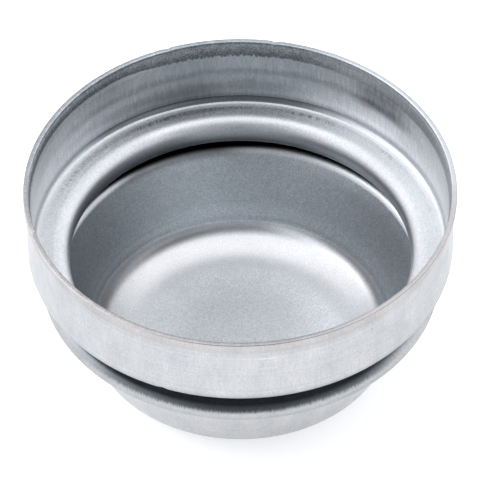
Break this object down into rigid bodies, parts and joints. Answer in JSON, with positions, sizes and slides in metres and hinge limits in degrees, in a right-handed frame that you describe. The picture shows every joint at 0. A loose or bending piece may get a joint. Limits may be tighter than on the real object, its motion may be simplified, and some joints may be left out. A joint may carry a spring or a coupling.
{
  "type": "hub grease cap",
  "caption": "Round pressed-steel cap with a tapered closed cup, a folded bead and pry groove, and a press band; closes a wheel hub and holds its bearing grease.",
  "frame": {"origin": "centre of the flat base, on the surface the cap stands on", "axes": "+Z along the cap's axis, from the closed end out of the mouth; X and Y are free, because the cap is round"},
  "size_m": [0.0656, 0.0656, 0.0336],
  "materials": {
    "zinc_steel": "satin zinc plating, lightly streaked by drawing"
  },
  "bodies": {
    "root": {"grease_cap": "zinc_steel"}
  },
  "joints": []
}
